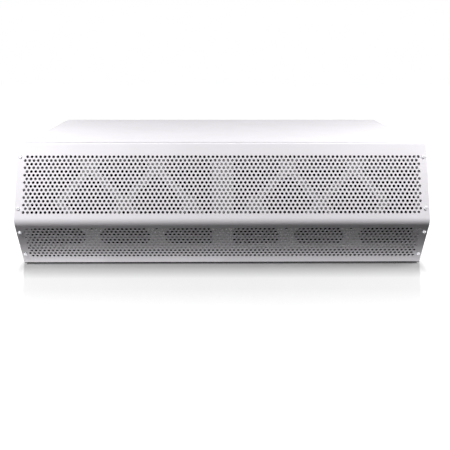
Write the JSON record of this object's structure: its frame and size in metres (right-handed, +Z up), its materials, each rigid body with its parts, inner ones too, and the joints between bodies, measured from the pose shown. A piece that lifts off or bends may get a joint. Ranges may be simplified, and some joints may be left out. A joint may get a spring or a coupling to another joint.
{
  "type": "air curtain",
  "caption": "Shallow white air curtain with a V-shaped perforated intake cover, filters, twin blowers and a long vaned discharge slot in its underside.",
  "frame": {"origin": "on the underside, below the middle of the length and of the depth", "axes": "+X along the unit to the right as seen from the front, the intake faces -Y, +Z up"},
  "size_m": [0.911, 0.525, 0.275],
  "materials": {
    "white_paint": "white powder coat, fine orange peel",
    "screw_steel": "zinc plated",
    "galvanised": "galvanised, soft spangle",
    "filter_board": "white moisture-resistant board",
    "filter_media": "grey pleated synthetic media",
    "vane_aluminium": "satin anodised extrusion",
    "bushing_plastic": "black acetal",
    "wheel_steel": "galvanised",
    "black_steel": "black oxide",
    "shaft_steel": "ground",
    "core_steel": "varnished laminations and windings",
    "motor_paint": "black enamel",
    "bearing_bronze": "sintered bronze",
    "rail_paint": "black enamel",
    "cradle_paint": "black enamel",
    "mount_rubber": "moulded rubber",
    "can_aluminium": "drawn can",
    "terminal_plastic": "ivory plastic",
    "cable_jacket": "black jacket"
  },
  "bodies": {
    "cabinet": {"intake_cover": "white_paint", "cover_screws": "screw_steel", "top_panel": "white_paint", "back_panel": "white_paint", "base_panel": "white_paint", "end_panel_left": "white_paint", "end_panel_right": "white_paint", "filter_frame_left": "filter_board", "filter_frame_right": "filter_board", "filter_media_left": "filter_media", "filter_media_right": "filter_media", "filter_rail_top": "rail_paint", "filter_rail_bottom": "rail_paint", "filter_sill": "rail_paint", "wall_rail_left": "galvanised", "wall_rail_right": "galvanised", "blower_deck": "galvanised", "nozzle_wall_front": "galvanised", "nozzle_wall_rear": "galvanised", "nozzle_end_left": "galvanised", "nozzle_end_right": "galvanised", "vane_bushings": "bushing_plastic", "scroll_wrap_left": "galvanised", "scroll_wrap_right": "galvanised", "scroll_side_left_outer": "galvanised", "scroll_side_left_inner": "galvanised", "scroll_side_right_inner": "galvanised", "scroll_side_right_outer": "galvanised", "inlet_ring_left_outer": "galvanised", "inlet_ring_left_inner": "galvanised", "inlet_ring_right_inner": "galvanised", "inlet_ring_right_outer": "galvanised", "cutoff_left": "galvanised", "cutoff_right": "galvanised", "housing_bolts": "screw_steel", "motor_shell": "motor_paint", "motor_bell_left": "motor_paint", "motor_bell_right": "motor_paint", "motor_stator": "core_steel", "motor_bearings": "bearing_bronze", "motor_cradle": "cradle_paint", "mounting_rings": "mount_rubber", "ring_clamps": "screw_steel", "capacitor": "can_aluminium", "capacitor_clip": "galvanised", "control_box": "galvanised", "control_box_lid": "galvanised", "terminal_block": "terminal_plastic", "wiring": "cable_jacket"},
    "rotor": {"wheel_left": "wheel_steel", "wheel_right": "wheel_steel", "wheel_setscrews": "black_steel", "motor_shaft": "shaft_steel", "motor_rotor": "core_steel"},
    "front_vane": {"vane_front": "vane_aluminium", "vane_pins_front": "screw_steel"},
    "middle_vane": {"vane_middle": "vane_aluminium", "vane_pins_middle": "screw_steel"},
    "rear_vane": {"vane_rear": "vane_aluminium", "vane_pins_rear": "screw_steel"}
  },
  "joints": [
    {"name": "rotor_spin", "type": "hinge", "parent": "cabinet", "child": "rotor", "pos_m": [0, 0.09, 0.1537], "axis": [-1, 0, 0], "continuous": true},
    {"name": "front_vane_tilt", "type": "hinge", "parent": "cabinet", "child": "front_vane", "pos_m": [0, 0.14049, 0.026], "axis": [1, 0, 0], "range_deg": [-20, 20]},
    {"name": "middle_vane_tilt", "type": "hinge", "parent": "cabinet", "child": "middle_vane", "pos_m": [0, 0.16709, 0.026], "axis": [1, 0, 0], "range_deg": [-20, 20]},
    {"name": "rear_vane_tilt", "type": "hinge", "parent": "cabinet", "child": "rear_vane", "pos_m": [0, 0.1937, 0.026], "axis": [1, 0, 0], "range_deg": [-20, 20]}
  ]
}
